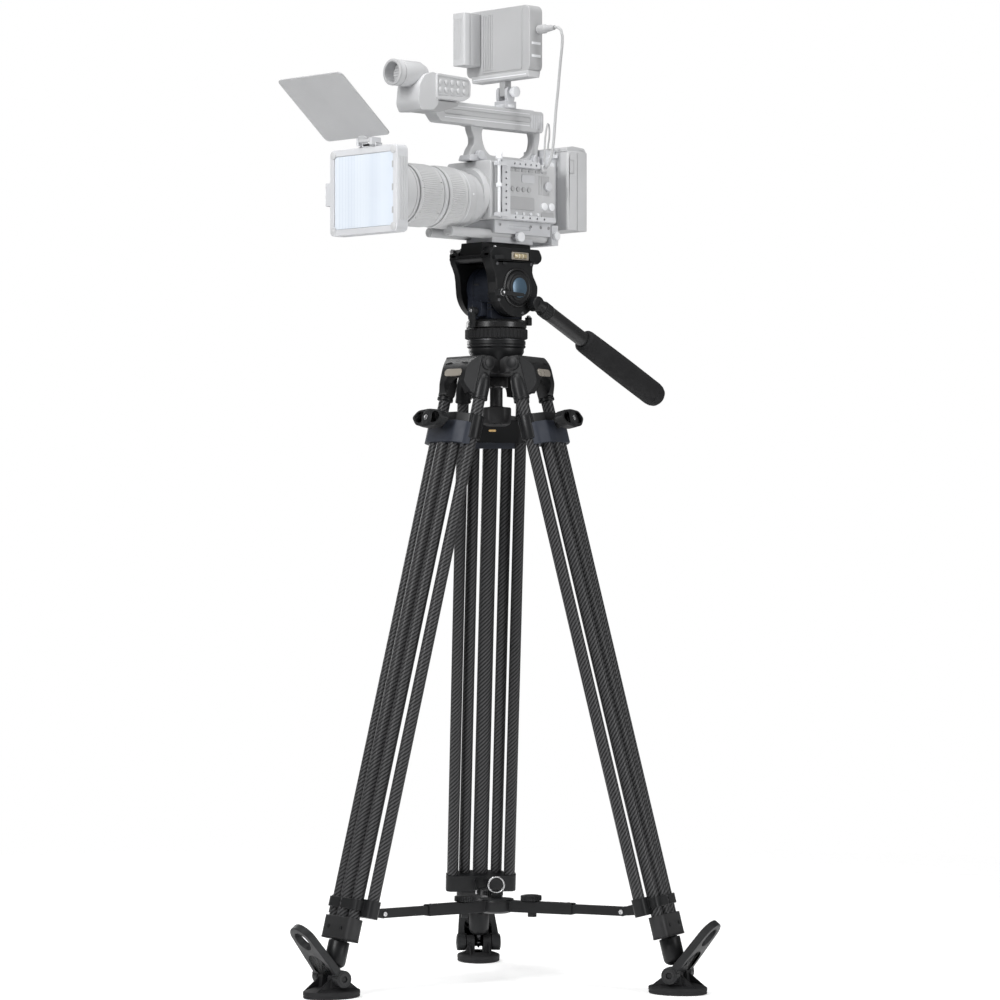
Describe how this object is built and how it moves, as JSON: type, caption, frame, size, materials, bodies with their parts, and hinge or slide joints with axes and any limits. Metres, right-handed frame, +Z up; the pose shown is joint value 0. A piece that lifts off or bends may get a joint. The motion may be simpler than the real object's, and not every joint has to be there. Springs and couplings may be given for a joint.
{
  "type": "film camera on tripod",
  "caption": "Film camera rig with matte box, handle, monitor and battery, on a fluid head and a carbon twin-tube tripod with a spreader.",
  "frame": {"origin": "on the floor, under the middle of the whole object's box; the tripod's own axis stands at x -0.0255, y 0.0425", "axes": "+Z is up, the lens looks along -Y, and +X is the operator's left, where the pan handle, the dial and the cable are"},
  "size_m": [0.6664, 0.713, 1.553],
  "materials": {
    "casting": "black anodised, satin",
    "carbon": "carbon-fibre twill under satin clear resin",
    "plastic": "black moulded nylon, satin",
    "rubber": "black rubber, matt",
    "steel": "bright steel wire",
    "dial": "blue-grey textured face",
    "amber": "amber liquid in clear plastic",
    "rig_grey": "pale grey, satin",
    "rig_light": "lighter grey, satin",
    "filter": "pale blue coated glass",
    "cable": "grey cable jacket"
  },
  "bodies": {
    "crown": {"crown": "casting", "half_ball": "casting"},
    "tie_down": {"tie_down_knob": "plastic"},
    "leg_front": {"shoulder_front": "casting", "upper_frame_front": "carbon"},
    "mid_front": {"middle_frame_front": "carbon"},
    "knob_front": {"lock_knob_front": "plastic"},
    "low_front": {"lower_tube_front": "carbon"},
    "pad_front": {"foot_pad_front": "rubber"},
    "lever_front": {"foot_lever_front": "plastic"},
    "arm_front": {"spreader_arm_front": "casting"},
    "leg_left": {"shoulder_left": "casting", "upper_frame_left": "carbon"},
    "mid_left": {"middle_frame_left": "carbon"},
    "knob_left": {"lock_knob_left": "plastic"},
    "low_left": {"lower_tube_left": "carbon"},
    "pad_left": {"foot_pad_left": "rubber"},
    "lever_left": {"foot_lever_left": "plastic"},
    "arm_left": {"spreader_arm_left": "casting"},
    "leg_right": {"shoulder_right": "casting", "upper_frame_right": "carbon"},
    "mid_right": {"middle_frame_right": "carbon"},
    "knob_right": {"lock_knob_right": "plastic"},
    "low_right": {"lower_tube_right": "carbon"},
    "pad_right": {"foot_pad_right": "rubber"},
    "lever_right": {"foot_lever_right": "plastic"},
    "arm_right": {"spreader_arm_right": "casting"},
    "hub": {"spreader_hub": "plastic"},
    "ring": {"pull_ring": "steel"},
    "pan": {"pan_base": "casting", "drum_housing": "casting"},
    "pan_ring": {"pan_drag_ring": "rubber"},
    "tilt": {"tilt_cradle": "casting", "level_vial": "amber"},
    "tilt_dial": {"tilt_drag_dial": "dial"},
    "counterbalance": {"counterbalance_knob": "plastic"},
    "tilt_lock": {"tilt_lock_lever": "plastic"},
    "pan_lock": {"pan_lock_lever": "plastic"},
    "handle": {"pan_handle": "casting", "handle_grip": "rubber"},
    "camera": {"slide_plate": "casting", "base_plate": "rig_light", "camera_body": "rig_grey", "camera_cage": "rig_light", "top_handle": "rig_grey", "lens_barrel": "rig_grey", "matte_box": "rig_light", "filter_glass": "filter", "audio_unit": "rig_grey", "monitor_mount": "rig_light", "battery_plate": "rig_grey", "rear_battery": "rig_grey", "loop_cable": "cable", "monitor_cable": "cable"},
    "focus": {"focus_ring": "rig_grey"},
    "zoom": {"zoom_ring": "rig_grey"},
    "flag": {"matte_flag": "rig_grey"},
    "monitor": {"monitor": "rig_grey", "monitor_battery": "rig_light", "cable_plug": "rig_grey"}
  },
  "joints": [
    {"name": "leg_fold_front", "type": "hinge", "parent": "crown", "child": "leg_front", "pos_m": [-0.03319, -0.00893, 0.985], "axis": [0.989, -0.1478, 0], "range_deg": [0, 5]},
    {"name": "mid_slide_front", "type": "slide", "parent": "leg_front", "child": "mid_front", "axis": [-0.0368, -0.246, -0.9686], "range_m": [0, 0.4]},
    {"name": "low_slide_front", "type": "slide", "parent": "mid_front", "child": "low_front", "axis": [-0.0368, -0.246, -0.9686], "range_m": [0, 0.4]},
    {"name": "lock_knob_front", "type": "hinge", "parent": "mid_front", "child": "knob_front", "pos_m": [-0.04331, -0.07666, 0.89521], "axis": [-0.1432, -0.9579, 0.2487], "range_deg": [0, 90]},
    {"name": "pad_tilt_front", "type": "hinge", "parent": "low_front", "child": "pad_front", "pos_m": [-0.07165, -0.2663, 0.031], "axis": [0.989, -0.1478, 0], "range_deg": [-15, 15]},
    {"name": "lever_lift_front", "type": "hinge", "parent": "pad_front", "child": "lever_front", "pos_m": [-0.07165, -0.2663, 0.031], "axis": [-0.989, 0.1478, 0], "range_deg": [0, 25]},
    {"name": "arm_front", "type": "hinge", "parent": "leg_front", "child": "arm_front", "pos_m": [-0.05817, -0.17607, 0.124], "axis": [0.989, -0.1478, 0], "range_deg": [-5.01, 0]},
    {"name": "leg_fold_left", "type": "hinge", "parent": "crown", "child": "leg_left", "pos_m": [0.02311, 0.06097, 0.985], "axis": [-0.3551, 0.9348, 0], "range_deg": [0, 5]},
    {"name": "mid_slide_left", "type": "slide", "parent": "leg_left", "child": "mid_left", "axis": [0.2325, 0.0883, -0.9686], "range_m": [0, 0.4]},
    {"name": "low_slide_left", "type": "slide", "parent": "mid_left", "child": "low_left", "axis": [0.2325, 0.0883, -0.9686], "range_m": [0, 0.4]},
    {"name": "lock_knob_left", "type": "hinge", "parent": "mid_left", "child": "knob_left", "pos_m": [0.08713, 0.08528, 0.89521], "axis": [0.9055, 0.344, 0.2487], "range_deg": [0, 90]},
    {"name": "pad_tilt_left", "type": "hinge", "parent": "low_left", "child": "pad_left", "pos_m": [0.26638, 0.15337, 0.031], "axis": [-0.3551, 0.9348, 0], "range_deg": [-15, 15]},
    {"name": "lever_lift_left", "type": "hinge", "parent": "pad_left", "child": "lever_left", "pos_m": [0.26638, 0.15337, 0.031], "axis": [0.3551, -0.9348, 0], "range_deg": [0, 25]},
    {"name": "arm_left", "type": "hinge", "parent": "leg_left", "child": "arm_left", "pos_m": [0.1811, 0.12098, 0.124], "axis": [-0.3551, 0.9348, 0], "range_deg": [-5.01, 0]},
    {"name": "leg_fold_right", "type": "hinge", "parent": "crown", "child": "leg_right", "pos_m": [-0.0662, 0.07487, 0.985], "axis": [-0.6225, -0.7826, 0], "range_deg": [0, 5]},
    {"name": "mid_slide_right", "type": "slide", "parent": "leg_right", "child": "mid_right", "axis": [-0.1946, 0.1548, -0.9686], "range_m": [0, 0.4]},
    {"name": "low_slide_right", "type": "slide", "parent": "mid_right", "child": "low_right", "axis": [-0.1946, 0.1548, -0.9686], "range_m": [0, 0.4]},
    {"name": "lock_knob_right", "type": "hinge", "parent": "mid_right", "child": "knob_right", "pos_m": [-0.11979, 0.1175, 0.89521], "axis": [-0.758, 0.603, 0.2487], "range_deg": [0, 90]},
    {"name": "pad_tilt_right", "type": "hinge", "parent": "low_right", "child": "pad_right", "pos_m": [-0.26985, 0.23686, 0.031], "axis": [-0.6225, -0.7826, 0], "range_deg": [-15, 15]},
    {"name": "lever_lift_right", "type": "hinge", "parent": "pad_right", "child": "lever_right", "pos_m": [-0.26985, 0.23686, 0.031], "axis": [0.6225, 0.7826, 0], "range_deg": [0, 25]},
    {"name": "arm_right", "type": "hinge", "parent": "leg_right", "child": "arm_right", "pos_m": [-0.19846, 0.18008, 0.124], "axis": [-0.6225, -0.7826, 0], "range_deg": [-5.01, 0]},
    {"name": "hub_drop", "type": "slide", "parent": "crown", "child": "hub", "axis": [0, 0, 1], "range_m": [-0.0121, 0]},
    {"name": "ring_swing", "type": "hinge", "parent": "hub", "child": "ring", "pos_m": [-0.0255, 0.0425, 0.1439], "axis": [0.6947, 0.7193, 0], "range_deg": [-80, 80]},
    {"name": "tie_down", "type": "hinge", "parent": "crown", "child": "tie_down", "pos_m": [-0.0255, 0.0425, 0.93], "axis": [0, 0, 1], "continuous": true},
    {"name": "pan", "type": "hinge", "parent": "crown", "child": "pan", "pos_m": [-0.0255, 0.0425, 1.0428], "axis": [0, 0, 1], "continuous": true},
    {"name": "pan_drag", "type": "hinge", "parent": "crown", "child": "pan_ring", "pos_m": [-0.0255, 0.0425, 1.0252], "axis": [0, 0, 1], "range_deg": [-150, 150]},
    {"name": "tilt", "type": "hinge", "parent": "pan", "child": "tilt", "pos_m": [-0.0255, 0.0425, 1.1055], "axis": [1, 0, 0], "range_deg": [-20, 55]},
    {"name": "tilt_drag", "type": "hinge", "parent": "tilt", "child": "tilt_dial", "pos_m": [0.0228, 0.0425, 1.1055], "axis": [1, 0, 0], "range_deg": [-150, 150]},
    {"name": "counterbalance", "type": "hinge", "parent": "tilt", "child": "counterbalance", "pos_m": [-0.0755, 0.0425, 1.1055], "axis": [1, 0, 0], "range_deg": [-150, 150]},
    {"name": "tilt_lock", "type": "hinge", "parent": "tilt", "child": "tilt_lock", "pos_m": [0.0295, -0.0005, 1.096], "axis": [1, 0, 0], "range_deg": [0, 60]},
    {"name": "pan_lock", "type": "hinge", "parent": "pan", "child": "pan_lock", "pos_m": [-0.0215, -0.0075, 1.069], "axis": [0, 1, 0], "range_deg": [-45, 45]},
    {"name": "plate_slide", "type": "slide", "parent": "tilt", "child": "camera", "axis": [0, 1, 0], "range_m": [-0.03, 0.03]},
    {"name": "handle_angle", "type": "hinge", "parent": "tilt", "child": "handle", "pos_m": [0.035, 0.0725, 1.0808], "axis": [1, 0, 0], "range_deg": [0, 60]},
    {"name": "focus", "type": "hinge", "parent": "camera", "child": "focus", "pos_m": [-0.0255, -0.1375, 1.2437], "axis": [0, 1, 0], "range_deg": [-90, 90]},
    {"name": "zoom", "type": "hinge", "parent": "camera", "child": "zoom", "pos_m": [-0.0255, -0.0825, 1.2437], "axis": [0, 1, 0], "range_deg": [-45, 45]},
    {"name": "flag_fold", "type": "hinge", "parent": "camera", "child": "flag", "pos_m": [-0.0155, -0.247, 1.3205], "axis": [1, 0, 0], "range_deg": [-55, 80]},
    {"name": "monitor_tilt", "type": "hinge", "parent": "camera", "child": "monitor", "pos_m": [-0.0255, 0.0625, 1.42], "axis": [1, 0, 0], "range_deg": [-30, 30], "deforming": ["monitor_cable"]}
  ],
  "couplings": [
    {"joint": "arm_front", "follows": "leg_fold_front", "ratio": -1},
    {"joint": "leg_fold_left", "follows": "leg_fold_front", "ratio": 1},
    {"joint": "arm_left", "follows": "leg_fold_front", "ratio": -1},
    {"joint": "leg_fold_right", "follows": "leg_fold_front", "ratio": 1},
    {"joint": "arm_right", "follows": "leg_fold_front", "ratio": -1},
    {"joint": "hub_drop", "follows": "leg_fold_front", "m_per_rad": -0.1379}
  ]
}
